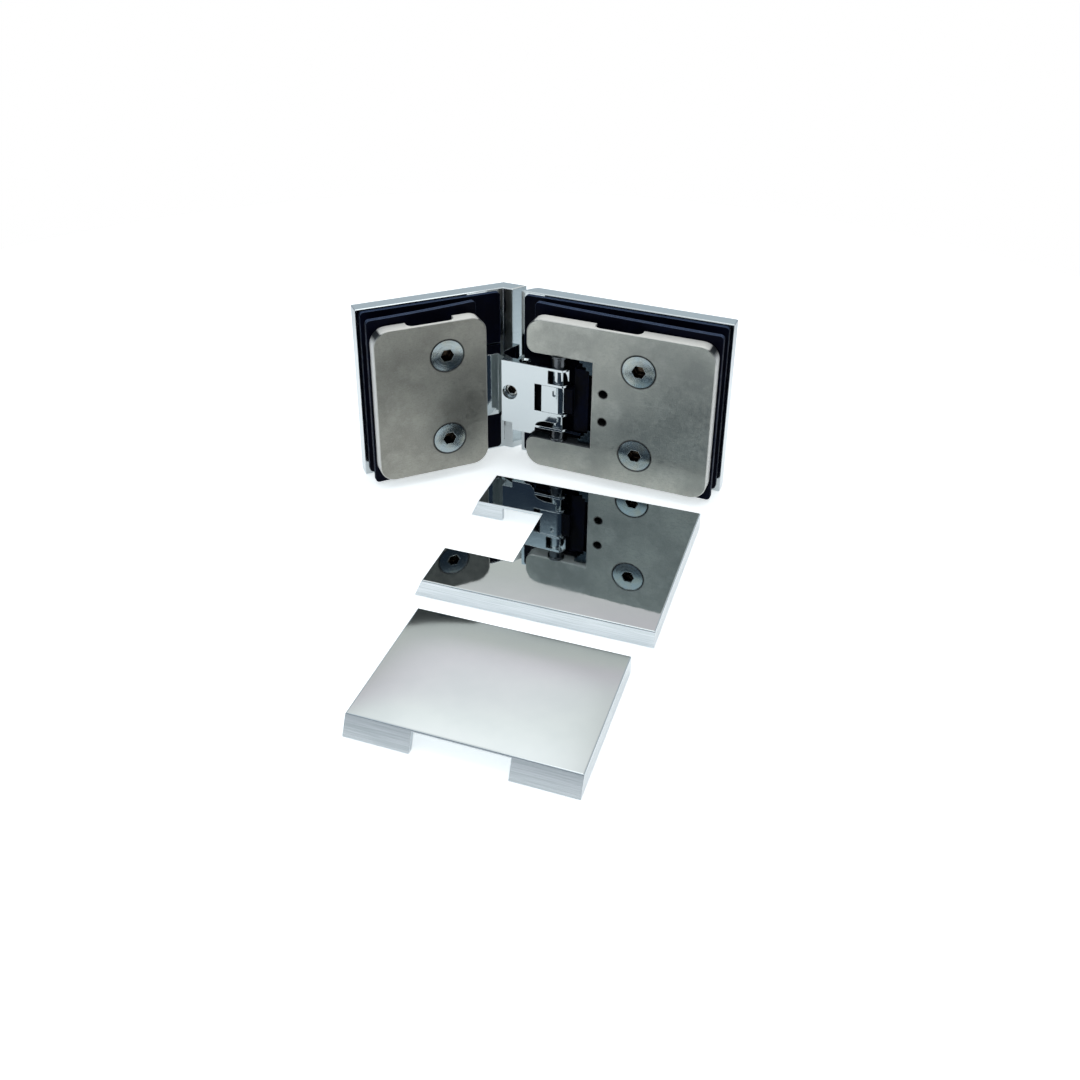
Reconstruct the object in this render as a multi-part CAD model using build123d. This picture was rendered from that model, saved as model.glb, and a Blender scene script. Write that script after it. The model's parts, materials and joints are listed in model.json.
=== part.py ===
from build123d import *
from math import cos, radians, sin, sqrt, tan
import os

# Glass door hinge that joins a fixed pane and a door at 135 degrees, with its two covers taken off.
# Each leaf clamps the glass between a back plate and a clamp plate, with rubber sheets between.
# The fixed leaf carries a cast arm that reaches in front of the door leaf's plates to the pivot.
# The pivot pin stands in the door's clamp plate, and a sprung shoe there rubs on the arm's cam block.
#
# Each leaf is modelled in its own frame: X along the leaf from the bend, Y up, Z to the front.
# Pieces are then placed with the pivot axis as the global Z axis and the door leaf along +X, and
# last of all the whole is moved so that the middle of its footprint is the origin.

# Both leaves
hinge_height = 90
leaf_angle = 135
pivot_drop = 0.9
back_thickness = 7.1
glass_slot = 12
clamp_thickness = 6.4
clamp_margin = 5
clamp_corner = 8
edge_bevel = 0.4
wing_end_radius = 34.6
door_end_radius = 30.2

# Lengths along each leaf, measured from the bend of the back plates
pivot_along = 36
fixed_length = 74.6
fixed_clamp_start = 15.7
fixed_clamp_width = 55.8
fixed_screw_along = 35.8
door_length = 115.6
door_clamp_start = 20
door_clamp_width = 92.5
door_screw_along = 76.5
door_notch_end = 53.7
door_notch_height = 46
prong_tip_share = 0.28

# Recesses for the covers' clips, in the rear of each clamp plate's upper and lower edge
clip_recess_width = 23.2
clip_recess_depth = 2.2
clip_recess_lip = 1.4
clip_recess_corner = 3.2
clip_slot_width = 8
clip_slot_depth = 5
fixed_clip_along = 42.6
door_clip_along = 64.9

# Clamp screws, countersunk with a hexagon socket, and the sleeves that keep them off the glass
screw_pitch = 45
screw_radius = 4
screw_head_radius = 8.2
screw_head_rim = 0.5
screw_clearance = 0.25
screw_bite = 5.6
socket_across = 6
socket_depth = 4
sleeve_radius = 6

# Rubber sheets
gasket_thickness = 1
gasket_inset = 2
gasket_margin = 1.5
gasket_corner = 2
gasket_clearance = 0.5
sheet_thickness = 0.9
sheet_pitch = 1.4
sheet_rest = 0.3
sheet_near_drop = 4.6
sheet_bow = 0.68
fixed_sheet_start = 17
door_sheet_start = 20

# Arm of the fixed leaf, seen from the front
arm_front = 19.8
arm_thickness = 4
arm_start = 7.5
arm_web_end = 31.9
arm_window_start = 25
arm_foot_start = 13
arm_foot_end = 25.3
arm_foot_drop = 4
arm_foot_chamfer = 2.4
arm_root_start = 7.5
arm_root_end = 28
arm_bridge_depth = 5
arm_bridge_end = 11.5
root_gap = 0.8
rib_start = 14.5
rib_end = 30
rib_depth = 10.6
rib_height = 2.4
lock_along = 18.5
lock_depth = 16.4
lock_radius = 2
lock_boss_width = 8
lock_boss_height = 8
lock_hole_length = 6
lock_hole_chamfer = 0.8
flange_radius = 5.6
flange_thickness = 1.2
flange_corner = 2.4
knuckle_radius = 3.2
knuckle_web_height = 6
knuckle_web_thickness = 1.4
nose_end = 37
nose_height = 5.2
nose_corner = 1
scallop_start = 25.6

# Pin, cam block and the bushings beside the arm
pin_radius = 2.2
pin_top_depth = 8
pin_bottom_gap = 0.5
running_gap = 0.05
thrust_gap = 0.1
cam_height = 14.4
cam_tongue_start = 28.6
cam_tongue_thickness = 3.2
cam_slot_width = 1.6
cam_slot_height = 3.2
bushing_length = 6.1
bushing_radius = 3.8
bushing_flange_radius = 4.4
bushing_flange = 1.2

# Adjusting screw in the arm, and the screws that hold the arm's root
adjuster_along = 11.9
adjuster_radius = 3.4
adjuster_mouth = 3.9
adjuster_recess = 2.8
adjuster_length = 4
adjuster_boss = 1.6
adjuster_boss_radius = 4.4
adjuster_socket = 4
adjuster_socket_depth = 2.6
root_screw_along = 22.5
root_screw_pitch = 18
root_screw_radius = 2.5
root_screw_head_radius = 4.6
root_screw_head = 3
root_screw_rim = 0.3
root_screw_sink = 0.4
root_screw_bite = 5

# Friction shoe, its springs and the housing between the door leaf's plates
housing_end = 64
housing_notch_gap = 0.5
housing_front = 16
housing_rear_gap = 0.2
housing_step_run = 1.7
housing_step_rise = 1.8
housing_steps = 4
step_clearance = 0.5
cavity_end = 53
shoe_gap = 0.3
shoe_start = 44
shoe_end = 51
shoe_rear = 3
shoe_front = 15
shoe_nose_height = 12.8
shoe_nose_depth = 6
spring_spacing = 13
spring_depth = 7.4
spring_radius = 1.9
spring_wire = 0.4
spring_turns = 4
spring_pocket_gap = 0.3
spring_pocket_wall = 1.2
shoe_pocket = 2.6
housing_screw_along = 59.5
housing_screw_pitch = 15
housing_screw_radius = 2.15
housing_screw_recess = 5.2
housing_screw_end = 3

# Covers: trays that clip over the clamp plates, here lying face up in front of the hinge
cover_skin = 1.6
cover_gap = 0.3
cover_wall = 2.5
cover_mitre = 3.6
cover_edge = 0.6
fixed_cover_width = 63.4
fixed_cover_opening = 37.6
fixed_cover_sill = 0.8
door_cover_width = 101.2
door_cover_notch = 40
door_cover_notch_depth = 32
door_cover_return = 12
door_cover_corner = (-22.4, -24.65)
door_cover_turn = 3.14
fixed_cover_corner = (-10.6, -131.2)
fixed_cover_turn = 3.23

# Sizes that follow from those above
mid_level = hinge_height / 2
pivot_level = mid_level - pivot_drop
clamp_height = hinge_height - 2 * clamp_margin
clamp_bottom = clamp_margin
clamp_top = hinge_height - clamp_margin
fold = 180 - leaf_angle
clamp_front = glass_slot + clamp_thickness
pivot_depth = glass_slot + clamp_thickness / 2
arm_back = arm_front - arm_thickness
cam_radius = arm_front - pivot_depth
window_height = cam_height + 2 * thrust_gap
window_bottom = pivot_level - window_height / 2
window_top = pivot_level + window_height / 2
notch_bottom = pivot_level - door_notch_height / 2
notch_top = pivot_level + door_notch_height / 2
prong_tip_radius = prong_tip_share * (notch_bottom - clamp_bottom)
arm_bottom = notch_bottom + bushing_length + thrust_gap
arm_top = notch_top - bushing_length - thrust_gap
housing_bottom = notch_bottom + housing_notch_gap
housing_top = notch_top - housing_notch_gap
housing_wall = (housing_steps - 1) * housing_step_rise
spring_end = housing_screw_along - housing_screw_radius - spring_pocket_wall
cover_height = cover_skin + cover_gap + clamp_thickness


def pair(middle, pitch):
    return (middle - pitch / 2, middle + pitch / 2)


fixed_screws = [(fixed_screw_along, level) for level in pair(mid_level, screw_pitch)]
door_screws = [(door_screw_along, level) for level in pair(pivot_level, screw_pitch)]
root_screws = [(root_screw_along, level) for level in pair(pivot_level, root_screw_pitch)]
housing_screws = [(housing_screw_along, level) for level in pair(pivot_level, housing_screw_pitch)]
spring_levels = pair(pivot_level, spring_spacing)

bend = (-pivot_along, pivot_depth)
door_plane = Plane(origin=(*bend, 0), x_dir=(1, 0, 0), z_dir=(0, -1, 0))
fixed_plane = Plane(
    origin=(*bend, 0),
    x_dir=(cos(radians(fold)), sin(radians(fold)), 0),
    z_dir=(sin(radians(fold)), -cos(radians(fold)), 0),
)


def on_door(solid):
    return door_plane.location * solid


def on_fixed(solid):
    # The fixed leaf runs the other way from the bend, so its pieces are mirrored.
    return fixed_plane.location * mirror(solid, Plane.YZ)


def door_at(along, front):
    return (along - pivot_along, pivot_depth - front)


def fixed_at(along, front):
    turn = radians(fold)
    x = -pivot_along - along * cos(turn) + front * sin(turn)
    y = pivot_depth - along * sin(turn) - front * cos(turn)
    return (x, y)


def slab(outline, rear, front):
    return Pos(0, 0, rear) * extrude(outline, front - rear, dir=(0, 0, 1))


def rectangle(start, end, bottom, top, corner=0):
    centre = Pos((start + end) / 2, (bottom + top) / 2)
    if corner > 0:
        return centre * RectangleRounded(end - start, top - bottom, corner)
    return centre * Rectangle(end - start, top - bottom)


def upright(points, bottom, top):
    # A prism with a plan outline in the global frame.
    outline = make_face(Polyline(*points, close=True))
    return Pos(0, 0, bottom) * extrude(outline, top - bottom, dir=(0, 0, 1))


def stem(radius, rear, front, along=0, level=0):
    return Pos(along, level, (rear + front) / 2) * Cylinder(radius, front - rear)


def rod(radius, bottom, top):
    return Pos(0, 0, (bottom + top) / 2) * Cylinder(radius, top - bottom)


def hexagon(across, rear, front, along, level):
    outline = Pos(along, level) * RegularPolygon(across / 2, 6, major_radius=False)
    return slab(outline, rear, front)


def turned(points):
    # A turned piece about the local Z axis, from (radius, height) points.
    outline = make_face(Polyline(*[(radius, 0, height) for radius, height in points], close=True))
    return revolve(outline, Axis.Z)


def countersink(radius, head_radius, rim, rear, front):
    depth = front - rim - (head_radius - radius)
    return turned([(0, rear), (radius, rear), (radius, depth), (head_radius, front - rim), (head_radius, front), (0, front)])


def bevel_ends(solid):
    levels = solid.edges().group_by(Axis.Z)
    return chamfer(levels[0] + levels[-1], edge_bevel)


def bevel_front(solid):
    front = solid.faces().sort_by(Axis.Z)[-1]
    return chamfer(front.outer_wire().edges(), edge_bevel)


# Back plates: the fixed one is bent, and its short wing ends round the door plate's turning end.
def fixed_back_plate():
    outer_bend = -back_thickness * tan(radians(fold) / 2)
    wing_reach = pivot_along - wing_end_radius / 2
    points = [
        fixed_at(fixed_length, 0),
        fixed_at(fixed_length, -back_thickness),
        door_at(outer_bend, -back_thickness),
        door_at(wing_reach, -back_thickness),
        door_at(wing_reach, 0),
        door_at(0, 0),
    ]
    plate = upright(points, 0, hinge_height) - rod(wing_end_radius, 0, hinge_height)
    plate = bevel_ends(plate)
    for along, level in fixed_screws:
        plate -= on_fixed(stem(screw_radius, -screw_bite, 1, along, level))
    for along, level in root_screws:
        plate -= on_fixed(stem(root_screw_radius, -root_screw_bite, 1, along, level))
    return plate


def door_back_plate():
    whole = rectangle(0, door_length, 0, hinge_height)
    plate = on_door(slab(whole, -back_thickness, 0))
    pivot_side = on_door(slab(rectangle(0, pivot_along, 0, hinge_height), -back_thickness, 0))
    plate -= pivot_side - rod(door_end_radius, 0, hinge_height)
    plate = bevel_ends(plate)
    for along, level in door_screws:
        plate -= on_door(stem(screw_radius, -screw_bite, 1, along, level))
    return plate


# Clamp plates
def clip_recesses(along):
    # Each is rounded at the front, with a shallow ledge at both ends and a deeper slot between them.
    front = clamp_front - clip_recess_lip
    rear = glass_slot - clip_recess_corner
    cuts = []
    for width, depth in ((clip_recess_width, clip_recess_depth), (clip_slot_width, clip_slot_depth)):
        cutter = Box(width, 2 * depth, front - rear)
        front_corners = cutter.edges().filter_by(Axis.Y).group_by(Axis.Z)[-1]
        cutter = fillet(front_corners, clip_recess_corner)
        for edge in (clamp_bottom, clamp_top):
            cuts.append(Pos(along, edge, (rear + front) / 2) * cutter)
    return cuts


def screw_seats(screws):
    seat = countersink(
        screw_radius + screw_clearance,
        screw_head_radius + screw_clearance,
        screw_head_rim,
        glass_slot - 1,
        clamp_front + 0.01,
    )
    return [Pos(along, level) * seat for along, level in screws]


def clamp_outline(start, width):
    return rectangle(start, start + width, clamp_bottom, clamp_top, clamp_corner)


def fixed_clamp_plate():
    plate = bevel_front(slab(clamp_outline(fixed_clamp_start, fixed_clamp_width), glass_slot, clamp_front))
    for cut in screw_seats(fixed_screws) + clip_recesses(fixed_clip_along):
        plate -= cut
    return on_fixed(plate)


def door_clamp_plate():
    outline = clamp_outline(door_clamp_start, door_clamp_width)
    outline -= rectangle(0, door_notch_end, notch_bottom, notch_top)
    tips = outline.vertices().filter_by(lambda v: abs(v.X - door_clamp_start) < 0.01)
    tips = tips.sort_by(Axis.Y)
    outline = fillet([v for v in tips if notch_bottom - 0.01 < v.Y < notch_top + 0.01], prong_tip_radius)
    plate = bevel_front(slab(outline, glass_slot, clamp_front))
    for cut in screw_seats(door_screws) + clip_recesses(door_clip_along):
        plate -= cut
    for along, level in housing_screws:
        plate -= stem(housing_screw_radius, glass_slot, clamp_front, along, level)
    return on_door(plate) - rod(pin_radius, 0, notch_top + pin_top_depth)


# Clamp screws and their sleeves
def clamp_screw(along, level):
    screw = countersink(screw_radius, screw_head_radius, screw_head_rim, -screw_bite, clamp_front)
    screw -= hexagon(socket_across, clamp_front - socket_depth, clamp_front, 0, 0)
    return Pos(along, level) * screw


def screw_sleeves(screws):
    sleeve = stem(sleeve_radius, 0, glass_slot) - stem(screw_radius, 0, glass_slot)
    return Compound(children=[Pos(along, level) * sleeve for along, level in screws])


# Rubber sheets: one lies on the back plate, and two loose ones bow between the glass and the clamp plate.
def gasket_outline(start, end, screws, root):
    outline = rectangle(start, end, gasket_margin, hinge_height - gasket_margin, gasket_corner)
    outline -= root
    for along, level in screws:
        outline -= Pos(along, level) * Circle(sleeve_radius + gasket_clearance)
    return outline


def fixed_root_gap():
    return rectangle(0, arm_root_end + gasket_clearance, arm_bottom - gasket_clearance, arm_top + gasket_clearance)


def housing_gap():
    end = housing_end + gasket_clearance
    return rectangle(0, end, housing_bottom - gasket_clearance, housing_top + gasket_clearance)


def fixed_gasket():
    outline = gasket_outline(gasket_inset, fixed_length - gasket_inset, fixed_screws, fixed_root_gap())
    return slab(outline, 0, gasket_thickness)


def door_gasket():
    start = pivot_along - sqrt(door_end_radius**2 - pivot_depth**2) + gasket_inset
    outline = gasket_outline(start, door_length - gasket_inset, door_screws, Sketch())
    return slab(outline, 0, gasket_thickness)


def bowed_sheet(outline, start, end, order):
    # The sheet bends away from the clamp plate towards the pivot, in an arc seen from above.
    far = glass_slot - sheet_rest - order * sheet_pitch
    near = far - sheet_near_drop
    middle = near + sheet_bow * (far - near)
    first = start - gasket_inset
    last = end + gasket_inset
    front = ThreePointArc((first, 0, near), ((first + last) / 2, 0, middle), (last, 0, far))
    rear = Pos(0, 0, -sheet_thickness) * front
    near_edge = Line(front @ 0, rear @ 0)
    far_edge = Line(front @ 1, rear @ 1)
    band = extrude(make_face([front, far_edge, rear, near_edge]), hinge_height, dir=(0, 1, 0))
    return band & slab(outline, 0, glass_slot)


def fixed_sheet(order):
    end = fixed_length - gasket_inset
    outline = gasket_outline(fixed_sheet_start, end, fixed_screws, fixed_root_gap())
    return bowed_sheet(outline, fixed_sheet_start, end, order)


def door_sheet(order):
    end = door_length - gasket_inset
    outline = gasket_outline(door_sheet_start, end, door_screws, housing_gap())
    return bowed_sheet(outline, door_sheet_start, end, order)


# Arm: plate with a window for the cam block, two flanged knuckles on the pin, a foot and a root.
def flange(bottom):
    inner = arm_web_end - pivot_along
    tail = Pos((inner - flange_corner) / 2, -cam_radius + arm_thickness / 2) * Rectangle(
        flange_corner - inner, arm_thickness
    )
    outline = Circle(flange_radius) & Rectangle(2 * flange_radius, 2 * cam_radius)
    return Pos(0, 0, bottom) * extrude(outline + tail, flange_thickness, dir=(0, 0, 1))


def knuckle(bottom, top):
    solid = rod(knuckle_radius, bottom, top)
    solid += flange(bottom)
    solid += flange(top - flange_thickness)
    return solid


def knuckle_web():
    # A thin web hangs from the upper flange beside the barrel, hollowed on the side towards it.
    edge = pivot_along + flange_radius
    top = arm_top - flange_thickness / 2
    outline = rectangle(pivot_along + knuckle_radius / 2, edge, top - knuckle_web_height, top)
    outline -= Pos(pivot_along + knuckle_radius / 2, top - knuckle_web_height) * Ellipse(
        flange_radius - knuckle_radius / 2 - flange_thickness / 2, knuckle_web_height - flange_thickness / 2
    )
    return slab(outline, pivot_depth, pivot_depth + knuckle_web_thickness)


def arm_plate():
    outline = rectangle(arm_start, arm_web_end, arm_bottom, arm_top)
    outline -= rectangle(arm_window_start, arm_web_end, window_bottom, window_top)
    nose_bottom = window_bottom - nose_height
    scallop_bottom = arm_bottom + flange_thickness
    scallop = Ellipse(arm_web_end - scallop_start, nose_bottom - scallop_bottom)
    outline -= Pos(arm_web_end, scallop_bottom) * scallop
    foot = Polyline(
        (arm_foot_start, arm_bottom),
        (arm_foot_start, arm_bottom - arm_foot_drop),
        (arm_foot_end - arm_foot_chamfer, arm_bottom - arm_foot_drop),
        (arm_foot_end, arm_bottom - arm_foot_drop + arm_foot_chamfer),
        (arm_foot_end, arm_bottom),
        close=True,
    )
    outline += make_face(foot)
    outline += rectangle(scallop_start, arm_web_end, arm_bottom, arm_bottom + flange_thickness)
    outline += rectangle(arm_web_end, nose_end - nose_corner, nose_bottom, window_bottom)
    outline += rectangle(arm_web_end, nose_end, nose_bottom, window_bottom, nose_corner)
    return slab(outline, arm_back, arm_front)


def arm_corner():
    # The root fills the corner of the bend, hollowed so that the door plate's end can turn past it.
    outline = [
        door_at(0, 0),
        door_at(pivot_along - sqrt((door_end_radius + root_gap) ** 2 - pivot_depth**2), 0),
        door_at(arm_start, arm_back),
        fixed_at(arm_root_start, glass_slot),
        fixed_at(arm_root_start, 0),
    ]
    return upright(outline, arm_bottom, arm_top) - rod(door_end_radius + root_gap, 0, hinge_height)


def arm_rib():
    # A rib along the top of the plate's rear, thickened round the hole of the lock screw.
    boss_start = lock_along - lock_boss_width / 2
    rib = slab(rectangle(rib_start, rib_end, arm_top - rib_height, arm_top), rib_depth, arm_back)
    boss = rectangle(boss_start, boss_start + lock_boss_width, arm_top - lock_boss_height, arm_top)
    return on_door(rib + slab(boss, rib_depth, arm_back))


def lock_hole():
    hole = rod(lock_radius, arm_top - lock_hole_length, arm_top)
    mouth = Cone(lock_radius, lock_radius + 2 * lock_hole_chamfer, 2 * lock_hole_chamfer)
    return Pos(*door_at(lock_along, lock_depth)) * (hole + Pos(0, 0, arm_top) * mouth)


def pivot_arm():
    arm = on_door(arm_plate())
    arm += knuckle(window_top, arm_top) + on_door(knuckle_web())
    arm += knuckle(arm_bottom, window_bottom)
    root = rectangle(arm_root_start, arm_root_end, arm_bottom, arm_top)
    arm += on_fixed(slab(root, 0, glass_slot))
    bridge = [
        door_at(arm_start, arm_back),
        fixed_at(arm_root_start, glass_slot),
        fixed_at(arm_root_start, arm_bridge_depth),
        door_at(arm_bridge_end, arm_back),
    ]
    arm += upright(bridge, arm_bottom, arm_top)
    arm += arm_corner()
    arm += arm_rib()
    arm -= lock_hole()
    arm += on_door(stem(adjuster_boss_radius, arm_back - adjuster_boss, arm_back, adjuster_along, pivot_level))
    arm -= on_door(stem(adjuster_radius, 0, arm_front, adjuster_along, pivot_level))
    arm -= on_door(stem(adjuster_mouth, arm_front - adjuster_recess, arm_front, adjuster_along, pivot_level))
    arm -= rod(pin_radius + running_gap, 0, hinge_height)
    rim = root_screw_rim + root_screw_sink
    seat = countersink(root_screw_radius, root_screw_head_radius, rim, -1, glass_slot)
    for along, level in root_screws:
        arm -= on_fixed(Pos(along, level) * seat)
    return arm


def adjusting_screw():
    front = arm_front - adjuster_recess
    screw = stem(adjuster_radius, front - adjuster_length, front, adjuster_along, pivot_level)
    screw = chamfer(screw.edges().group_by(Axis.Z)[-1], edge_bevel)
    return screw - hexagon(adjuster_socket, front - adjuster_socket_depth, front, adjuster_along, pivot_level)


def arm_screws():
    front = glass_slot - root_screw_sink
    screw = countersink(root_screw_radius, root_screw_head_radius, root_screw_rim, -root_screw_bite, front)
    screw -= hexagon(root_screw_head, front - root_screw_head / 2, front, 0, 0)
    return Compound(children=[Pos(along, level) * screw for along, level in root_screws])


# Pivot: pin, cam block in the arm's window, and a bushing between the arm and each edge of the notch.
def pivot_pin():
    return rod(pin_radius, clamp_bottom + pin_bottom_gap, notch_top + pin_top_depth)


def cam_block():
    tongue_start = cam_tongue_start - pivot_along
    tongue = Pos(tongue_start / 2, -cam_radius + cam_tongue_thickness / 2) * Rectangle(
        -tongue_start, cam_tongue_thickness
    )
    outline = Circle(cam_radius) + tongue
    bottom = pivot_level - cam_height / 2
    block = Pos(0, 0, bottom) * extrude(outline, cam_height, dir=(0, 0, 1))
    block -= rod(pin_radius + running_gap, 0, hinge_height)
    slot = rectangle(
        pivot_along - cam_slot_width,
        pivot_along,
        pivot_level + cam_height / 4 - cam_slot_height / 2,
        pivot_level + cam_height / 4 + cam_slot_height / 2,
        cam_slot_width / 3,
    )
    return block - on_door(slab(slot, arm_front - 1, arm_front))


def bushing(bottom, top, flange_bottom):
    ring = rod(bushing_radius, bottom, top) + rod(bushing_flange_radius, flange_bottom, flange_bottom + bushing_flange)
    return ring - rod(pin_radius, bottom, top)


# Friction shoe, its springs and their housing
def housing_steps_at(edge, side):
    # Steps that climb from the notch's corner towards its end, rising into the notch from one edge.
    steps = Part()
    for step in range(housing_steps):
        start = shoe_end + step_clearance - (housing_steps - 1 - step) * housing_step_run
        low, high = sorted((edge, edge + side * (step + 1) * housing_step_rise))
        steps += slab(rectangle(start, door_notch_end, low, high), gasket_thickness + housing_rear_gap, housing_front)
    return steps


def spring_housing():
    rear = gasket_thickness + housing_rear_gap
    housing = slab(rectangle(cavity_end, housing_end, housing_bottom, housing_top), rear, glass_slot)
    housing += housing_steps_at(housing_bottom, 1)
    housing += housing_steps_at(housing_top, -1)
    for level in spring_levels:
        housing -= along_leaf(spring_radius + spring_pocket_gap, cavity_end, spring_end, level)
    for along, level in housing_screws:
        housing -= stem(housing_screw_radius, housing_screw_end, glass_slot, along, level)
    return on_door(housing)


def along_leaf(radius, start, end, level):
    return Pos((start + end) / 2, level, spring_depth) * Rot(0, 90, 0) * Cylinder(radius, end - start)


def friction_shoe():
    bottom = housing_bottom + housing_wall + shoe_gap
    top = housing_top - housing_wall - shoe_gap
    body = slab(rectangle(shoe_start, shoe_end, bottom, top), shoe_rear, shoe_front)
    nose = rectangle(pivot_along, shoe_start, *pair(pivot_level, shoe_nose_height))
    body += slab(nose, pivot_depth - shoe_nose_depth / 2, pivot_depth + shoe_nose_depth / 2)
    for level in spring_levels:
        body -= along_leaf(spring_radius + spring_pocket_gap, shoe_end - shoe_pocket, shoe_end, level)
    return on_door(body) - rod(cam_radius + shoe_gap, 0, hinge_height)


def shoe_springs():
    start = shoe_end - shoe_pocket
    length = spring_end - start
    middle = spring_radius - spring_wire
    height = length - 2 * spring_wire
    path = Helix(height / spring_turns, height, middle)
    section = Plane(origin=path @ 0, z_dir=path % 0) * RegularPolygon(spring_wire, 8)
    coil = sweep(section, path=path)
    coils = []
    for level in spring_levels:
        coils.append(on_door(Pos(start + spring_wire, level, spring_depth) * Rot(0, 90, 0) * coil))
    return Compound(children=coils)


def housing_screw_pair():
    front = clamp_front - housing_screw_recess
    screw = stem(housing_screw_radius, housing_screw_end, front)
    screw -= hexagon(housing_screw_radius, front - housing_screw_radius, front, 0, 0)
    return Compound(children=[Pos(along, level) * screw for along, level in housing_screws])


# Covers, modelled face up: X from the pivot edge to the far edge, Y across, Z up
def tray(width):
    outer = [(-cover_mitre, 0), (0, cover_height), (width, cover_height), (width, 0)]
    lean = cover_mitre / cover_height
    ceiling = cover_height - cover_skin
    inner = [
        (cover_wall - cover_mitre, -1),
        (cover_wall - cover_mitre, 0),
        (cover_wall - cover_mitre + lean * ceiling, ceiling),
        (width - cover_wall, ceiling),
        (width - cover_wall, -1),
    ]
    body = prism(outer, 0, hinge_height)
    top_edges = body.edges().group_by(Axis.Z)[-1]
    body = fillet(top_edges, cover_edge)
    return body - prism(inner, cover_wall, hinge_height - cover_wall)


def prism(points, near, far):
    outline = make_face(Polyline(*[(x, 0, z) for x, z in points], close=True))
    return Pos(0, near, 0) * extrude(outline, far - near, dir=(0, 1, 0))


def door_cover():
    low = mid_level - door_cover_notch / 2
    high = mid_level + door_cover_notch / 2
    returns = [(-cover_mitre, 0), (0, cover_height - cover_edge), (door_cover_return, cover_height - cover_edge)]
    returns.append((door_cover_return, 0))
    cover = tray(door_cover_width)
    cover += prism(returns, low - cover_wall, low)
    cover += prism(returns, high, high + cover_wall)
    notch = [(-2 * cover_mitre, -1), (-2 * cover_mitre, 2 * cover_height)]
    notch += [(door_cover_notch_depth, 2 * cover_height), (door_cover_notch_depth, -1)]
    cover -= prism(notch, low, high)
    return Pos(*door_cover_corner) * Rot(0, 0, door_cover_turn) * Pos(0, -hinge_height, 0) * cover


def fixed_cover():
    low = mid_level - fixed_cover_opening / 2
    high = mid_level + fixed_cover_opening / 2
    sill = cover_height - fixed_cover_sill
    opening = [(-2 * cover_mitre, -1), (-2 * cover_mitre, sill), (cover_wall, sill), (cover_wall, -1)]
    cover = tray(fixed_cover_width) - prism(opening, low, high)
    turned_cover = Pos(hinge_height, -fixed_cover_width, 0) * Rot(0, 0, 90) * cover
    return Pos(*fixed_cover_corner) * Rot(0, 0, fixed_cover_turn) * turned_cover


nodes = {
    "fixed_back_plate": fixed_back_plate(),
    "fixed_rear_gasket": on_fixed(fixed_gasket()),
    "fixed_front_gasket": on_fixed(fixed_sheet(0)),
    "fixed_spacer_gasket": on_fixed(fixed_sheet(1)),
    "fixed_clamp_plate": fixed_clamp_plate(),
    "fixed_screw_sleeves": on_fixed(screw_sleeves(fixed_screws)),
    "door_back_plate": door_back_plate(),
    "door_rear_gasket": on_door(door_gasket()),
    "door_front_gasket": on_door(door_sheet(0)),
    "door_spacer_gasket": on_door(door_sheet(1)),
    "door_clamp_plate": door_clamp_plate(),
    "door_screw_sleeves": on_door(screw_sleeves(door_screws)),
    "pivot_arm": pivot_arm(),
    "arm_fixing_screws": on_fixed(arm_screws()),
    "adjusting_screw": on_door(adjusting_screw()),
    "pivot_pin": pivot_pin(),
    "cam_block": cam_block(),
    "upper_bushing": bushing(arm_top + thrust_gap, notch_top, notch_top - bushing_flange),
    "lower_bushing": bushing(notch_bottom, arm_bottom - thrust_gap, notch_bottom),
    "friction_shoe": friction_shoe(),
    "shoe_springs": shoe_springs(),
    "spring_housing": spring_housing(),
    "spring_housing_screws": on_door(housing_screw_pair()),
    "door_cover": door_cover(),
    "fixed_cover": fixed_cover(),
}
for place, fixed_screw, door_screw in zip(("lower", "upper"), fixed_screws, door_screws):
    nodes["fixed_clamp_screw_" + place] = on_fixed(clamp_screw(*fixed_screw))
    nodes["door_clamp_screw_" + place] = on_door(clamp_screw(*door_screw))

# The origin is under the middle of the whole, so the pivot axis then stands off it.
boxes = [node.bounding_box() for node in nodes.values()]
west, east = min(box.min.X for box in boxes), max(box.max.X for box in boxes)
south, north = min(box.min.Y for box in boxes), max(box.max.Y for box in boxes)
floor = min(box.min.Z for box in boxes)
axis = (-(west + east) / 2, -(south + north) / 2)
print("pivot axis at", round(axis[0], 4), round(axis[1], 4))

os.makedirs("parts", exist_ok=True)
for name, node in nodes.items():
    export_step(Pos(*axis, -floor) * node, "parts/" + name + ".step")
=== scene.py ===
import json
import math

import bpy
import numpy as np
from mathutils import Matrix, Vector

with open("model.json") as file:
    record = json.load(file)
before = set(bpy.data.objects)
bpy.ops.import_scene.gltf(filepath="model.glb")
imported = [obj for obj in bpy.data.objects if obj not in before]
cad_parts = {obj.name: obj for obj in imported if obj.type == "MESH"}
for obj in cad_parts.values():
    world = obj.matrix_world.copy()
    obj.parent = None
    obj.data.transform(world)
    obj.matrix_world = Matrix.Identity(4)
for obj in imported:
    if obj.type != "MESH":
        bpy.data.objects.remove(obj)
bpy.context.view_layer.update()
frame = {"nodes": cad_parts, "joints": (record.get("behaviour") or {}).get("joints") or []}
nodes = frame["nodes"]
pivot = Vector(frame["joints"][0]["pos_m"])
print("frame loaded:", len(nodes), "nodes")


# ---- node helpers
def newMaterial(name):
    material = bpy.data.materials.new(name)
    material.use_nodes = True
    material.node_tree.nodes.clear()
    return material, material.node_tree


def addNode(tree, kind, inputs=None, **settings):
    node = tree.nodes.new(kind)
    for key, value in settings.items():
        setattr(node, key, value)
    for key, value in (inputs or {}).items():
        if isinstance(value, bpy.types.NodeSocket):
            tree.links.new(value, node.inputs[key])
        else:
            node.inputs[key].default_value = value
    return node


def mathNode(tree, operation, a, b=0.5, clamp=False):
    return addNode(tree, "ShaderNodeMath", {0: a, 1: b}, operation=operation, use_clamp=clamp).outputs[0]


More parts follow.
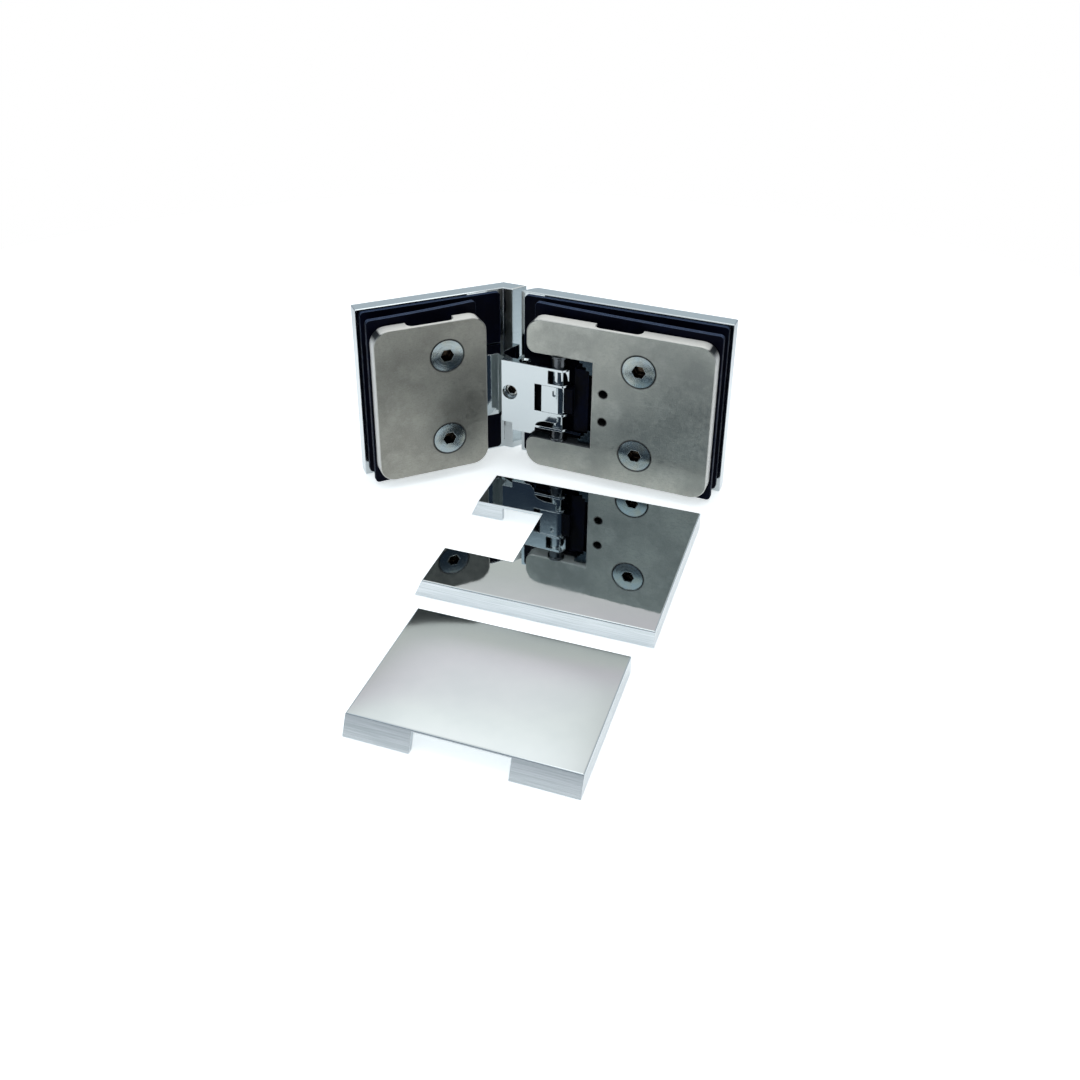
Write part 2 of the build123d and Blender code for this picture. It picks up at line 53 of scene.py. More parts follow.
def times(tree, a, b):
    return mathNode(tree, "MULTIPLY", a, b)


def vectorNode(tree, operation, inputs, output="Vector"):
    return addNode(tree, "ShaderNodeVectorMath", inputs, operation=operation).outputs[output]


def objectPlace(tree):
    return addNode(tree, "ShaderNodeTexCoord").outputs["Object"]


def mixColour(tree, factor, a, b, blend="MIX"):
    node = addNode(tree, "ShaderNodeMix", {"Factor": factor}, data_type="RGBA", blend_type=blend)
    for socket, value in ((node.inputs[6], a), (node.inputs[7], b)):
        if isinstance(value, bpy.types.NodeSocket):
            tree.links.new(value, socket)
        else:
            socket.default_value = value
    return node.outputs[2]


def spread(tree, value, low, high, toLow=0.0, toHigh=1.0):
    inputs = {"Value": value, "From Min": low, "From Max": high, "To Min": toLow, "To Max": toHigh}
    return addNode(tree, "ShaderNodeMapRange", inputs, clamp=True).outputs[0]


def newGroup(name, inputs, outputs):
    group = bpy.data.node_groups.new(name, "ShaderNodeTree")
    for label, kind, value in inputs:
        socket = group.interface.new_socket(label, in_out="INPUT", socket_type=kind)
        socket.default_value = value
    for label, kind in outputs:
        group.interface.new_socket(label, in_out="OUTPUT", socket_type=kind)
    return group, group.nodes.new("NodeGroupInput").outputs, group.nodes.new("NodeGroupOutput").inputs


def useGroup(tree, group, inputs):
    return addNode(tree, "ShaderNodeGroup", inputs, node_tree=group).outputs


# ---- shared effects
def buildEdgeHighlight():
    # how far the rounded normal leans from the true one marks the edges, and noise breaks the mark up; the mask
    # places a painted highlight along the edges
    inputs = [("Width", "NodeSocketFloat", 0.0005), ("Break Up", "NodeSocketFloat", 0.4)]
    outputs = [("Mask", "NodeSocketFloat"), ("Normal", "NodeSocketVector")]
    group, given, out = newGroup("edgeHighlight", inputs, outputs)
    bevel = addNode(group, "ShaderNodeBevel", {"Radius": given["Width"]}, samples=6)
    normal = addNode(group, "ShaderNodeNewGeometry").outputs["Normal"]
    lean = vectorNode(group, "DOT_PRODUCT", {0: bevel.outputs[0], 1: normal}, "Value")
    mask = spread(group, lean, 0.995, 0.80)
    noise = addNode(group, "ShaderNodeTexNoise", {"Vector": objectPlace(group), "Scale": 260.0, "Detail": 5.0})
    glintGaps = spread(group, noise.outputs["Fac"], 0.35, 0.62)
    kept = mathNode(group, "SUBTRACT", 1.0, times(group, given["Break Up"], glintGaps))
    group.links.new(mathNode(group, "MULTIPLY", mask, kept, clamp=True), out["Mask"])
    group.links.new(bevel.outputs[0], out["Normal"])
    return group


def buildGrain():
    # noise stretched along one direction, as a belt or a brush leaves it
    inputs = [("Vector", "NodeSocketVector", (0, 0, 0)), ("Scale", "NodeSocketFloat", 900.0)]
    inputs += [("Stretch", "NodeSocketVector", (1.0, 1.0, 0.04))]
    group, given, out = newGroup("grain", inputs, [("Value", "NodeSocketFloat"), ("Fine", "NodeSocketFloat")])
    stretched = vectorNode(group, "MULTIPLY", {0: given["Vector"], 1: given["Stretch"]})
    coarse = addNode(group, "ShaderNodeTexNoise", {"Vector": stretched, "Scale": given["Scale"], "Detail": 6.0})
    fineScale = times(group, given["Scale"], 3.1)
    fine = addNode(group, "ShaderNodeTexNoise", {"Vector": stretched, "Scale": fineScale, "Detail": 3.0})
    group.links.new(coarse.outputs["Fac"], out["Value"])
    group.links.new(fine.outputs["Fac"], out["Fine"])
    return group


def buildMottle():
    # cloudy patches and specks, for handling marks and uneven metal
    inputs = [("Vector", "NodeSocketVector", (0, 0, 0)), ("Size", "NodeSocketFloat", 0.02)]
    outputs = [("Clouds", "NodeSocketFloat"), ("Specks", "NodeSocketFloat")]
    group, given, out = newGroup("mottle", inputs, outputs)
    scale = mathNode(group, "DIVIDE", 1.0, given["Size"])
    layers = (("Clouds", scale, 4.0, 0.62), ("Specks", times(group, scale, 16.0), 5.0, 0.7))
    for label, layerScale, detail, roughness in layers:
        noise = {"Vector": given["Vector"], "Scale": layerScale, "Detail": detail, "Roughness": roughness}
        group.links.new(addNode(group, "ShaderNodeTexNoise", noise).outputs["Fac"], out[label])
    return group


def buildAroundAxis():
    # distance from an axis, height along it from a centre, and fine rings as a lathe leaves them
    inputs = [("Vector", "NodeSocketVector", (0, 0, 0)), ("Centre", "NodeSocketVector", (0, 0, 0))]
    inputs += [("Axis", "NodeSocketVector", (0, 0, 1)), ("Ring Scale", "NodeSocketFloat", 5000.0)]
    outputs = [(label, "NodeSocketFloat") for label in ("Radius", "Height", "Rings")]
    group, given, out = newGroup("aroundAxis", inputs, outputs)
    offset = vectorNode(group, "SUBTRACT", {0: given["Vector"], 1: given["Centre"]})
    height = vectorNode(group, "DOT_PRODUCT", {0: offset, 1: given["Axis"]}, "Value")
    along = vectorNode(group, "SCALE", {0: given["Axis"], "Scale": height})
    across = vectorNode(group, "SUBTRACT", {0: offset, 1: along})
    radius = vectorNode(group, "LENGTH", {0: across}, "Value")
    ringPlace = times(group, radius, given["Ring Scale"])
    rings = addNode(group, "ShaderNodeTexNoise", {"W": ringPlace, "Scale": 1.0, "Detail": 2.0}, noise_dimensions="1D")
    group.links.new(radius, out["Radius"])
    group.links.new(height, out["Height"])
    group.links.new(rings.outputs["Fac"], out["Rings"])
    return group


edgeHighlight = buildEdgeHighlight()
grain = buildGrain()
mottle = buildMottle()
aroundAxis = buildAroundAxis()


def useSurface(tree, shader, kind="ShaderNodeOutputMaterial"):
    addNode(tree, kind, {"Surface": shader.outputs[0]})


def finishShader(tree, sockets):
    useSurface(tree, addNode(tree, "ShaderNodeBsdfPrincipled", sockets))


def bump(tree, height, strength, distance, normal):
    inputs = {"Height": height, "Strength": strength, "Distance": distance, "Normal": normal}
    return addNode(tree, "ShaderNodeBump", inputs).outputs[0]


def dressNode(name, material):
    node = nodes[name]
    node.data.materials.clear()
    node.data.materials.append(material)


def meshPoints(name):
    mesh = nodes[name].data
    points = np.empty(len(mesh.vertices) * 3)
    mesh.vertices.foreach_get("co", points)
    return points.reshape(-1, 3)


def headCentre(name, axis, side=0):
    # middle of the flat face at the front end of a turned piece, or of the lower or upper one of a pair
    points = meshPoints(name)
    if side:
        points = points[(points[:, 2] - points[:, 2].mean()) * side > 0]
    along = points @ np.array(axis)
    face = points[along > along.max() - 1e-5]
    return tuple((face.min(axis=0) + face.max(axis=0)) / 2)


def facing(tree, axis, low, high):
    # 1 on faces that look along the axis, 0 on those that look elsewhere
    normal = addNode(tree, "ShaderNodeNewGeometry").outputs["True Normal"]
    lean = vectorNode(tree, "DOT_PRODUCT", {0: normal, 1: axis}, "Value")
    return spread(tree, lean, low, high)


upward = (0, 0, 1)
doorFront = (0.0, -1.0, 0.0)
fixedFront = (math.sqrt(0.5), -math.sqrt(0.5), 0.0)

# ---- chrome of the covers, back plates and arm
chrome = {
    "colour": (0.625, 0.675, 0.69, 1),
    "cloudy": (0.59, 0.645, 0.665, 1),
    # edge: the painted highlight colour along the edges, also the pale tone of the brush lines on the sides
    "edge": (0.86, 0.89, 0.92, 1),
    "edgeWidth": 0.0003,
    "edgeBreakUp": 0.25,
    "edgeStrength": 0.5,
    "cloudSize": 0.03,
    "roughness": 0.02,
    "wipeMarks": 0.035,
    "sideRoughness": 0.02,
    "lineScale": 2600.0,
    "lineStretch": (0.02, 0.02, 1.0),
    "lineColour": 0.0,
    "lineDepth": 0.0,
    "wave": 0.000010,
    "waveSize": 0.016,
    "frontWave": 0.000010,
}
crown = {
    "middle": (0.0400, -0.0760, 0.0085),
    "turn": 3.23,
    "halfWidth": 0.045,
    "halfDepth": 0.0335,
    "rise": 0.0007,
}


def wavyRelief(tree, place, look):
    waves = useGroup(tree, mottle, {"Vector": place, "Size": look["waveSize"]})
    front = facing(tree, doorFront, 0.3, 0.9)
    return times(tree, waves["Clouds"], spread(tree, front, 0.0, 1.0, look["wave"], look["frontWave"]))


def crownRelief(tree, place, look):
    # the face swells by a fourth power, so it is flat in the middle and leans at the rim
    mapping = {"Vector": place, "Location": look["middle"], "Rotation": (0, 0, math.radians(look["turn"]))}
    mapping["Scale"] = (look["halfWidth"], look["halfDepth"], 1.0)
    centred = addNode(tree, "ShaderNodeMapping", mapping, vector_type="TEXTURE").outputs[0]
    x, y, _ = addNode(tree, "ShaderNodeSeparateXYZ", {0: centred}).outputs
    swells = [mathNode(tree, "POWER", mathNode(tree, "ABSOLUTE", part), 4.0) for part in (x, y)]
    top = facing(tree, upward, 0.8, 0.99)
    return times(tree, times(tree, mathNode(tree, "ADD", *swells), -look["rise"]), top)


def makeChrome(name, look, relief=wavyRelief):
    material, tree = newMaterial(name)
    place = objectPlace(tree)
    edgeGlint = useGroup(tree, edgeHighlight, {"Width": look["edgeWidth"], "Break Up": look["edgeBreakUp"]})
    clouds = useGroup(tree, mottle, {"Vector": place, "Size": look["cloudSize"]})
    lines = useGroup(tree, grain, {"Vector": place, "Scale": look["lineScale"], "Stretch": look["lineStretch"]})
    sides = mathNode(tree, "SUBTRACT", 1.0, facing(tree, upward, 0.35, 0.75))
    colour = mixColour(tree, spread(tree, clouds["Clouds"], 0.35, 0.7), look["colour"], look["cloudy"])
    brushed = times(tree, sides, spread(tree, lines["Value"], 0.35, 0.65, 0.0, look["lineColour"]))
    colour = mixColour(tree, brushed, colour, look["edge"])
    # painted highlight: pale colour along the edges
    colour = mixColour(tree, times(tree, edgeGlint["Mask"], look["edgeStrength"]), colour, look["edge"])
    smeared = look["roughness"] + look["wipeMarks"]
    smears = spread(tree, clouds["Clouds"], 0.45, 0.75, look["roughness"], smeared)
    rough = mathNode(tree, "ADD", smears, times(tree, sides, look["sideRoughness"]))
    cut = times(tree, times(tree, sides, lines["Value"]), look["lineDepth"])
    height = mathNode(tree, "ADD", relief(tree, place, look), cut)
    normal = bump(tree, height, 1.0, 1.0, edgeGlint["Normal"])
    finishShader(tree, {"Base Color": colour, "Metallic": 1.0, "Roughness": rough, "Normal": normal})
    return material


coverLook = {**chrome, "sideRoughness": 0.16, "lineColour": 0.6, "lineDepth": 0.0000048}
plateLook = {**chrome, "roughness": 0.05, "sideRoughness": 0.03, "lineColour": 0.15, "lineDepth": 0.0000012}
castLook = {**chrome, "roughness": 0.03, "wave": 0.00012, "waveSize": 0.007}
crownLook = {**coverLook, **crown, "roughness": 0.09, "wipeMarks": 0.04, "sideRoughness": 0.12, "lineDepth": 0.000005}
plateChrome = makeChrome("plateChrome", plateLook)
castChrome = makeChrome("castChrome", castLook)
dressNode("door_cover", makeChrome("coverChrome", coverLook))
dressNode("fixed_cover", makeChrome("crownedChrome", crownLook, crownRelief))
for name in ("door_back_plate", "fixed_back_plate"):
    dressNode(name, plateChrome)
for name in ("pivot_arm", "cam_block"):
    dressNode(name, castChrome)
print("chrome done")


# ---- satin stainless of the clamp plates
stainless = {
    "colour": (0.40, 0.395, 0.35, 1),
    "dark": (0.27, 0.265, 0.235, 1),
    "pale": (0.52, 0.515, 0.46, 1),
    # side: near-white painted sheen on faces that don't look along the plate's front, also its edge highlight
    "side": (0.94, 0.94, 0.90, 1),
    # painted shade for the floors of the recess and the notch
    "pocketShade": (0.035, 0.04, 0.045, 1),
    "pocketTop": 0.084,
    "seatShadow": (0.03, 0.03, 0.03, 1),
    "roughness": 0.34,
    "sideMetal": 0.2,
    "rimWidth": 0.0005,
    "screwSeat": 0.0085,
    "housingHole": 0.0022,
}


def makeStainless(name, look, axis, seats=()):
    material, tree = newMaterial(name)
    place = objectPlace(tree)
    edgeGlint = useGroup(tree, edgeHighlight, {"Width": 0.0004, "Break Up": 0.5})
    clouds = useGroup(tree, mottle, {"Vector": place, "Size": 0.03})
    stains = useGroup(tree, mottle, {"Vector": place, "Size": 0.011})
    lines = useGroup(tree, grain, {"Vector": place, "Scale": 1500.0, "Stretch": (0.35, 0.35, 1.0)})
    front = facing(tree, axis, 0.55, 0.9)
    colour = mixColour(tree, spread(tree, clouds["Clouds"], 0.36, 0.62), look["dark"], look["colour"])
    colour = mixColour(tree, spread(tree, stains["Clouds"], 0.5, 0.75, 0.0, 0.6), colour, look["pale"])
    colour = mixColour(tree, spread(tree, stains["Specks"], 0.46, 0.68, 0.0, 0.5), colour, look["dark"])
    colour = mixColour(tree, spread(tree, lines["Value"], 0.50, 0.68, 0.0, 0.45), colour, look["dark"])
    colour = mixColour(tree, spread(tree, lines["Fine"], 0.52, 0.70, 0.0, 0.35), colour, look["pale"])
    # painted sheen: faces that don't look along the front get a near-white, mostly non-metal colour
    colour = mixColour(tree, front, look["side"], colour)
    # faces that look up below the plate's top edge lie in a recess or the notch, and get painted shade
    level = addNode(tree, "ShaderNodeSeparateXYZ", {0: place}).outputs[2]
    below = spread(tree, level, look["pocketTop"], look["pocketTop"] - look["rimWidth"])
    colour = mixColour(tree, times(tree, facing(tree, upward, 0.3, 0.6), below), colour, look["pocketShade"])
    for centre, radius in seats:
        hole = useGroup(tree, aroundAxis, {"Vector": place, "Centre": centre, "Axis": axis})
        rim = spread(tree, hole["Radius"], radius + look["rimWidth"], radius)
        colour = mixColour(tree, rim, colour, look["seatShadow"])
    # painted highlight: near-white along the edges
    colour = mixColour(tree, times(tree, edgeGlint["Mask"], 0.35), colour, look["side"])
    rough = spread(tree, clouds["Specks"], 0.3, 0.7, look["roughness"] - 0.06, look["roughness"] + 0.14)
    height = mathNode(tree, "ADD", lines["Fine"], times(tree, clouds["Specks"], 1.6))
    normal = bump(tree, height, 0.14, 0.0002, edgeGlint["Normal"])
    metallic = spread(tree, front, 0.0, 1.0, look["sideMetal"], 1.0)
    finishShader(tree, {"Base Color": colour, "Metallic": metallic, "Roughness": rough, "Normal": normal})
    return material


# painted light: the door plate gets a lighter copy of the same stainless than the fixed plate
plateLightTones = {
    "fixed": {},
    "door": {"colour": (0.50, 0.51, 0.46, 1), "dark": (0.33, 0.34, 0.315, 1), "pale": (0.60, 0.61, 0.56, 1)},
}
plates = {"door": doorFront, "fixed": fixedFront}
heads = {}
for leaf, axis in plates.items():
    seats = []
    for level in ("lower", "upper"):
        screwName = leaf + "_clamp_screw_" + level
        heads[screwName] = (headCentre(screwName, axis), axis)
        seats.append((heads[screwName][0], stainless["screwSeat"]))
    if leaf == "door":
        for side in (-1, 1):
            seats.append((headCentre("spring_housing_screws", axis, side), stainless["housingHole"]))
    dressNode(leaf + "_clamp_plate", makeStainless(leaf + "ClampSteel", {**stainless, **plateLightTones[leaf]}, axis, seats))
print("stainless done")


# ---- zinc plated screws, turned heads with a hexagon socket
zinc = {
    "colour": (0.37, 0.44, 0.46, 1),
    "yellowed": (0.44, 0.44, 0.36, 1),
    "pale": (0.62, 0.68, 0.70, 1),
    # painted shade at the head's outer rim, where it meets the hole
    "gapShade": (0.03, 0.035, 0.04, 1),
    # painted shade on the socket walls; the socket floor is painted a dark brown
    "socketWallShade": (0.012, 0.010, 0.010, 1),
    "socketFloor": (0.14, 0.10, 0.07, 1),
    "roughness": 0.13,
    "headRadius": 0.0082,
    "socketRadius": 0.0036,
    "socketDepth": 0.004,
    "dome": 7.0,
}


def makeScrew(name, look, centre, axis):
    material, tree = newMaterial(name)
    place = objectPlace(tree)
    edgeGlint = useGroup(tree, edgeHighlight, {"Width": 0.0003, "Break Up": 0.3})
    clouds = useGroup(tree, mottle, {"Vector": place, "Size": 0.006})
    turned = useGroup(tree, aroundAxis, {"Vector": place, "Centre": centre, "Axis": axis})
    colour = mixColour(tree, spread(tree, clouds["Clouds"], 0.42, 0.7, 0.0, 0.8), look["colour"], look["yellowed"])
    colour = mixColour(tree, spread(tree, turned["Rings"], 0.5, 0.75, 0.0, 0.3), colour, look["pale"])
    # painted highlight: pale colour along the edges
    colour = mixColour(tree, times(tree, edgeGlint["Mask"], 0.5), colour, look["pale"])
    # painted shade: the head's outer rim goes near black
    rim = spread(tree, turned["Radius"], look["headRadius"] - 0.0005, look["headRadius"] - 0.0001)
    colour = mixColour(tree, rim, colour, look["gapShade"])
    # painted shade: the socket walls go near black, and its floor a dark brown
    inside = spread(tree, turned["Radius"], look["socketRadius"], look["socketRadius"] - 0.00005)
    below = spread(tree, turned["Height"], -0.0001, -0.0005)
    colour = mixColour(tree, times(tree, inside, below), colour, look["socketWallShade"])
    bottom = spread(tree, turned["Height"], -look["socketDepth"] + 0.0002, -look["socketDepth"] + 0.0001)
    colour = mixColour(tree, times(tree, inside, bottom), colour, look["socketFloor"])
    rough = spread(tree, clouds["Specks"], 0.3, 0.7, look["roughness"] - 0.05, look["roughness"] + 0.12)
    fall = times(tree, mathNode(tree, "POWER", turned["Radius"], 2.0), -look["dome"])
    domed = bump(tree, fall, 1.0, 1.0, edgeGlint["Normal"])
    height = mathNode(tree, "ADD", turned["Rings"], times(tree, clouds["Specks"], 0.5))
    normal = bump(tree, height, 0.16, 0.0001, domed)
    finishShader(tree, {"Base Color": colour, "Metallic": 1.0, "Roughness": rough, "Normal": normal})
    return material


for screwName, (centre, axis) in heads.items():
    dressNode(screwName, makeScrew(screwName + "Zinc", zinc, centre, axis))
adjuster = {
    **zinc,
    "colour": (0.36, 0.36, 0.36, 1),
    "headRadius": 0.0036,
    "socketRadius": 0.0024,
    "socketDepth": 0.0026,
}
dressNode("adjusting_screw", makeScrew("adjusterZinc", adjuster, headCentre("adjusting_screw", doorFront), doorFront))


def makeMetal(name, look):
    material, tree = newMaterial(name)
    place = objectPlace(tree)
    edgeGlint = useGroup(tree, edgeHighlight, {"Width": 0.0003, "Break Up": 0.3})
    clouds = useGroup(tree, mottle, {"Vector": place, "Size": 0.006})
    lines = useGroup(tree, grain, {"Vector": place, "Scale": 1200.0, "Stretch": look["stretch"]})
    colour = mixColour(tree, spread(tree, clouds["Clouds"], 0.4, 0.7), look["colour"], look["dull"])
    # painted highlight: the edge colour along the edges
    colour = mixColour(tree, times(tree, edgeGlint["Mask"], 0.6), colour, look["edge"])
    rough = spread(tree, clouds["Specks"], 0.3, 0.7, look["roughness"] - 0.04, look["roughness"] + 0.1)
    height = mathNode(tree, "ADD", lines["Value"], clouds["Specks"])
    normal = bump(tree, height, 0.14, 0.0001, edgeGlint["Normal"])
    finishShader(tree, {"Base Color": colour, "Metallic": 1.0, "Roughness": rough, "Normal": normal})
    return material


metals = {
    "groundSteel": {
        "colour": (0.60, 0.59, 0.57, 1),
        "dull": (0.46, 0.44, 0.40, 1),
        "edge": (0.85, 0.85, 0.84, 1),
        "roughness": 0.12,
        "stretch": (0.06, 0.06, 1.0),
    },
    "milledHousing": {
        "colour": (0.045, 0.065, 0.08, 1),
        "dull": (0.02, 0.03, 0.04, 1),
        "edge": (0.30, 0.38, 0.43, 1),
        "roughness": 0.22,
        "stretch": (1.0, 1.0, 0.08),
    },
    "darkBushing": {
        "colour": (0.11, 0.12, 0.13, 1),
        "dull": (0.06, 0.06, 0.065, 1),
        "edge": (0.55, 0.6, 0.64, 1),
        "roughness": 0.12,
        "stretch": (0.06, 0.06, 1.0),
    },
    "blackOxide": {
        "colour": (0.016, 0.017, 0.02, 1),
        "dull": (0.03, 0.03, 0.032, 1),
        "edge": (0.10, 0.10, 0.11, 1),
        "roughness": 0.34,
        "stretch": (1.0, 1.0, 1.0),
    },
    "springSteel": {
        "colour": (0.40, 0.40, 0.39, 1),
        "dull": (0.24, 0.23, 0.22, 1),
        "edge": (0.6, 0.6, 0.6, 1),
        "roughness": 0.2,
        "stretch": (1.0, 1.0, 1.0),
    },
    "armScrewSteel": {
        "colour": (0.44, 0.47, 0.49, 1),
        "dull": (0.33, 0.34, 0.33, 1),
        "edge": (0.75, 0.78, 0.8, 1),
        "roughness": 0.2,
        "stretch": (1.0, 1.0, 1.0),
    },
}
metalNodes = {
    "groundSteel": ("pivot_pin",),
    "darkBushing": ("upper_bushing", "lower_bushing"),
    "milledHousing": ("spring_housing",),
    "blackOxide": ("spring_housing_screws",),
    "springSteel": ("shoe_springs",),
    "armScrewSteel": ("arm_fixing_screws",),
}
for metalName, pieces in metalNodes.items():
    material = makeMetal(metalName, metals[metalName])
    for name in pieces:
        dressNode(name, material)
print("screws, pin and housing done")


# ---- rubber sheets, sleeves and shoe
rubber = {
    "colour": (0.0012, 0.0016, 0.0075, 1),
    "dusty": (0.003, 0.005, 0.018, 1),
    "topSheen": (0.05, 0.075, 0.14, 1),
    # edge: painted highlight lines along the sheet edges
    "edge": (0.24, 0.31, 0.46, 1),
    "roughness": 0.5,
    "gloss": 0.06,
    "edgeWidth": 0.00034,
}


def makeRubber(name, look):
    material, tree = newMaterial(name)
    place = objectPlace(tree)
    edgeGlint = useGroup(tree, edgeHighlight, {"Width": look["edgeWidth"], "Break Up": 0.5})
    clouds = useGroup(tree, mottle, {"Vector": place, "Size": 0.012})
    colour = mixColour(tree, spread(tree, clouds["Clouds"], 0.45, 0.72), look["colour"], look["dusty"])
    # painted sheen: faces that look up get a lighter bluish colour
    colour = mixColour(tree, facing(tree, upward, 0.4, 0.8), colour, look["topSheen"])
    # painted highlight: bluish lines along the edges
    colour = mixColour(tree, times(tree, edgeGlint["Mask"], 0.8), colour, look["edge"])
    rough = spread(tree, clouds["Clouds"], 0.3, 0.7, look["roughness"] - 0.08, look["roughness"] + 0.2)
    normal = bump(tree, clouds["Specks"], 0.2, 0.0002, edgeGlint["Normal"])
    sockets = {"Base Color": colour, "Roughness": rough, "Normal": normal, "Specular IOR Level": look["gloss"]}
    finishShader(tree, sockets)
    return material


rubberSheet = makeRubber("rubberSheet", rubber)
plastic = {
    **rubber,
    "colour": (0.0015, 0.0015, 0.003, 1),
    "topSheen": (0.004, 0.004, 0.008, 1),
    "edge": (0.02, 0.03, 0.06, 1),
}
darkPlastic = makeRubber("darkPlastic", plastic)
for name in nodes:
    if "gasket" in name:
        dressNode(name, rubberSheet)
for name in ("door_screw_sleeves", "fixed_screw_sleeves", "friction_shoe"):
    dressNode(name, darkPlastic)
print("rubber done")


# ---- floor, light and camera
studio = {
    "floorRadius": 0.55,
    "floorSides": 96,
    "floorLevel": -0.0002,
    "fadeStart": 0.24,
    "fadeEnd": 0.46,
    "floorColour": (0.88, 0.89, 0.91, 1),
    "floorSeen": (0.94, 0.99, 1.0, 1),
    "cameraLift": 0.64,
    "glossyLift": 0.40,
    "back": [
        (0.00, (0.30, 0.34, 0.40)),
        (0.40, (0.58, 0.65, 0.70)),
        (0.50, (0.60, 0.62, 0.60)),
        (0.59, (0.68, 0.69, 0.65)),
        (0.645, (0.77, 0.70, 0.74)),
        (0.695, (0.86, 0.87, 0.84)),
        (0.75, (0.93, 0.93, 0.91)),
        (1.00, (1.00, 1.00, 1.00)),
    ],
    "front": [
        (0.00, (0.30, 0.33, 0.37)),
        (0.36, (0.26, 0.29, 0.33)),
        (0.47, (0.03, 0.045, 0.07)),
        (0.555, (0.03, 0.045, 0.07)),
        (0.59, (0.74, 0.88, 0.96)),
        (1.00, (1.00, 1.00, 1.00)),
    ],
    "rightSide": [
        (0.00, (0.02, 0.03, 0.04)),
        (0.72, (0.03, 0.045, 0.07)),
        (0.80, (0.60, 0.66, 0.70)),
        (1.00, (1.00, 1.00, 1.00)),
    ],
    "softbox": {"towards": (-0.30, 0.58, 0.757), "colour": (0.42, 0.42, 0.42, 1), "inner": 2.0, "outer": 13.0},
    "skyStrength": 1.0,
}


def makeFloor():
    # a round table top, whose mirror image fades out towards its rim
    mesh = bpy.data.meshes.new("studioFloor")
    sides, radius = studio["floorSides"], studio["floorRadius"]
    angles = np.linspace(0, 2 * math.pi, sides, endpoint=False)
    level = np.full(sides, studio["floorLevel"])
    rim = np.column_stack((np.cos(angles) * radius, np.sin(angles) * radius, level))
    mesh.from_pydata(rim.tolist(), [], [list(range(sides))])
    floor = bpy.data.objects.new("studioFloor", mesh)
    bpy.context.scene.collection.objects.link(floor)
    material, tree = newMaterial("paleFloor")
    diffuse = addNode(tree, "ShaderNodeBsdfDiffuse", {"Color": studio["floorColour"]})
    path = addNode(tree, "ShaderNodeLightPath").outputs
    direct = times(tree, path["Is Camera Ray"], studio["cameraLift"])
    mirrored = times(tree, path["Is Glossy Ray"], studio["glossyLift"])
    lift = mathNode(tree, "ADD", direct, mirrored)
    glow = addNode(tree, "ShaderNodeEmission", {"Color": studio["floorSeen"], "Strength": lift})
    both = addNode(tree, "ShaderNodeAddShader", {0: diffuse.outputs[0], 1: glow.outputs[0]})
    distance = vectorNode(tree, "LENGTH", {0: objectPlace(tree)}, "Value")
    fade = times(tree, path["Is Glossy Ray"], spread(tree, distance, studio["fadeStart"], studio["fadeEnd"]))
    clear = addNode(tree, "ShaderNodeBsdfTransparent").outputs[0]
    useSurface(tree, addNode(tree, "ShaderNodeMixShader", {0: fade, 1: both.outputs[0], 2: clear}))
    mesh.materials.append(material)


def skyRamp(tree, height, stops):
    ramp = addNode(tree, "ShaderNodeValToRGB", {"Fac": height})
    elements = ramp.color_ramp.elements
    while len(elements) < len(stops):
        elements.new(0.5)
    for element, (position, colour) in zip(elements, stops):
        element.position = position
        element.color = (*colour, 1)
    return ramp.outputs[0]


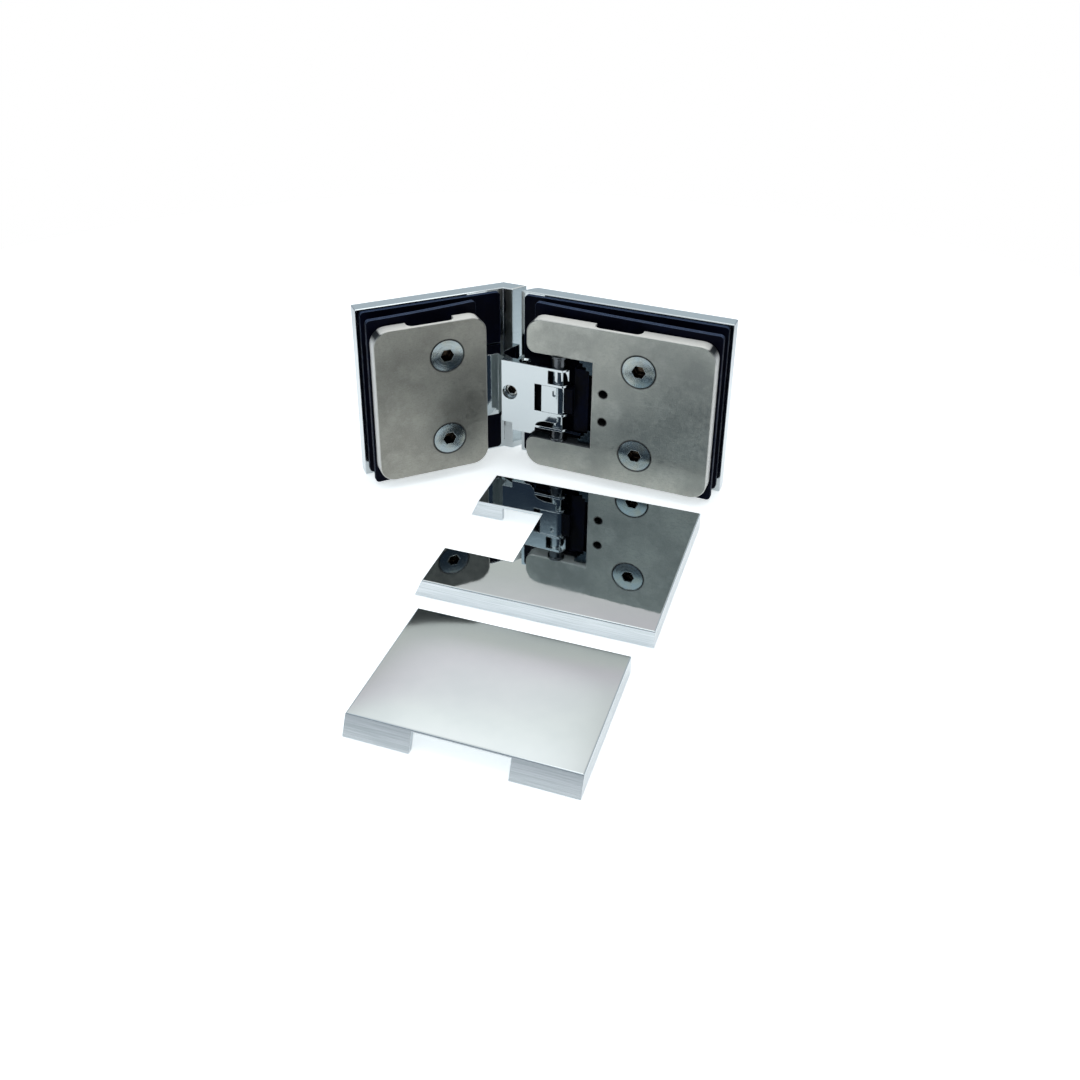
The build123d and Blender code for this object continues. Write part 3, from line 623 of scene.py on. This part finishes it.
def makeSky():
    # a pale wall on the far side; a dark band on the near and right sides under a bright ceiling
    world = bpy.data.worlds.new("studioSky")
    bpy.context.scene.world = world
    world.use_nodes = True
    tree = world.node_tree
    tree.nodes.clear()
    direction = addNode(tree, "ShaderNodeTexCoord").outputs["Generated"]
    across, depth, height = addNode(tree, "ShaderNodeSeparateXYZ", {0: direction}).outputs
    height = mathNode(tree, "MAXIMUM", height, 0.0)
    back = skyRamp(tree, height, studio["back"])
    front = skyRamp(tree, height, studio["front"])
    right = skyRamp(tree, height, studio["rightSide"])
    front = mixColour(tree, spread(tree, across, 0.15, 0.5), front, right)
    sky = mixColour(tree, spread(tree, depth, -0.12, 0.12), front, back)
    patch = studio["softbox"]
    aim = vectorNode(tree, "DOT_PRODUCT", {0: direction, 1: patch["towards"]}, "Value")
    outer, inner = (math.cos(math.radians(patch[key])) for key in ("outer", "inner"))
    glow = spread(tree, aim, outer, inner)
    sky = mixColour(tree, glow, sky, patch["colour"], "ADD")
    path = addNode(tree, "ShaderNodeLightPath").outputs
    shade = addNode(tree, "ShaderNodeBackground", {"Color": sky, "Strength": studio["skyStrength"]})
    white = addNode(tree, "ShaderNodeBackground", {"Color": (1, 1, 1, 1), "Strength": 1.0})
    shown = {0: path["Is Camera Ray"], 1: shade.outputs[0], 2: white.outputs[0]}
    useSurface(tree, addNode(tree, "ShaderNodeMixShader", shown), "ShaderNodeOutputWorld")


lamps = {
    "overhead": {"place": (0.1, -0.1, 0.9), "aim": (0, -0.06, 0.02), "size": 0.6, "power": 0.9},
}


def makeLamp(name, look):
    light = bpy.data.lights.new(name, "AREA")
    light.shape = "DISK"
    light.size = look["size"]
    light.energy = look["power"]
    lamp = bpy.data.objects.new(name, light)
    bpy.context.scene.collection.objects.link(lamp)
    lamp.location = pivot + Vector(look["place"])
    aim = Vector(look["aim"]) - Vector(look["place"])
    lamp.rotation_euler = aim.to_track_quat("-Z", "Y").to_euler()


camera = {
    "fromPivot": (0.17073, -0.45436, 0.29821),
    "heading": 21.69,
    "down": 26.79,
    "roll": 0.52,
    "lens": 37.44,
    "shiftY": -0.1481,
}


def makeCamera():
    heading, down, roll = (math.radians(camera[key]) for key in ("heading", "down", "roll"))
    forward = Vector((-math.sin(heading) * math.cos(down), math.cos(heading) * math.cos(down), -math.sin(down)))
    level = Vector((math.cos(heading), math.sin(heading), 0))
    upright = level.cross(forward)
    right = level * math.cos(roll) + upright * math.sin(roll)
    up = right.cross(forward)
    data = bpy.data.cameras.new("camera")
    data.lens = camera["lens"]
    data.sensor_width = 36
    data.shift_y = camera["shiftY"]
    data.clip_start = 0.01
    viewer = bpy.data.objects.new("camera", data)
    bpy.context.scene.collection.objects.link(viewer)
    turn = Matrix((right, up, -forward)).transposed().to_4x4()
    viewer.matrix_world = Matrix.Translation(pivot + Vector(camera["fromPivot"])) @ turn
    bpy.context.scene.camera = viewer


makeFloor()
makeSky()
for lampName, lampLook in lamps.items():
    makeLamp(lampName, lampLook)
makeCamera()
bpy.context.scene.view_settings.view_transform = "Standard"
print("studio done")
